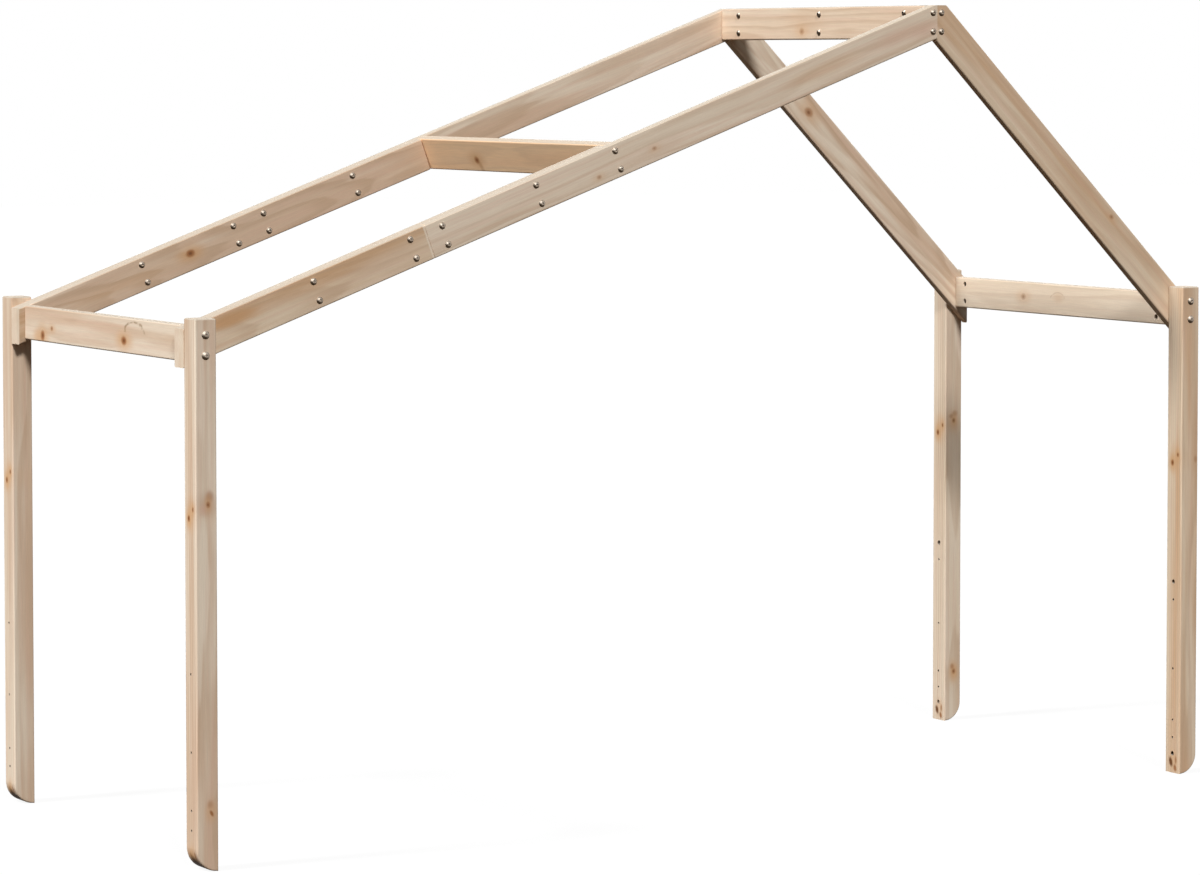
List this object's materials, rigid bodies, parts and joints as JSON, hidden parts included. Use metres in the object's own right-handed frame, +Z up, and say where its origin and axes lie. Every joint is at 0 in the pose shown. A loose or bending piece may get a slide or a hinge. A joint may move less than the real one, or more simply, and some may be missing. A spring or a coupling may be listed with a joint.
{
  "type": "house-shaped canopy frame",
  "caption": "House-shaped wooden canopy frame that bolts to a child's bed: upright posts, uneven pitched rafters, cross rails and a ridge joined with steel bolts.",
  "frame": {"origin": "on the floor, under the middle of the frame", "axes": "+X along the frame from the foot of the long slope to the foot of the steep slope, +Y from the front frame to the rear frame, +Z up"},
  "size_m": [2.061, 0.8274, 1.4374],
  "materials": {
    "pine": "planed, unfinished solid pine with knots",
    "steel": "bright nickel-plated steel"
  },
  "bodies": {
    "root": {"front_left_post": "pine", "front_left_post_bolts": "steel", "front_lower_rafter": "pine", "front_peak_bolts": "steel", "front_right_post": "pine", "front_right_post_bolts": "steel", "front_splice_board": "pine", "front_splice_bolts": "steel", "front_splice_nuts": "steel", "front_steep_rafter": "pine", "front_upper_rafter": "pine", "left_end_rail": "pine", "left_rail_nuts": "steel", "mid_rail": "pine", "mid_rail_bolts": "steel", "mid_rail_nuts": "steel", "rear_left_post": "pine", "rear_left_post_bolts": "steel", "rear_lower_rafter": "pine", "rear_peak_bolts": "steel", "rear_right_post": "pine", "rear_right_post_bolts": "steel", "rear_splice_board": "pine", "rear_splice_bolts": "steel", "rear_splice_nuts": "steel", "rear_steep_rafter": "pine", "rear_upper_rafter": "pine", "ridge_board_left": "pine", "ridge_board_right": "pine", "ridge_bolts": "steel", "ridge_left_nuts": "steel", "ridge_nuts": "steel", "ridge_right_nuts": "steel", "right_end_rail": "pine", "right_rail_nuts": "steel"}
  },
  "joints": []
}
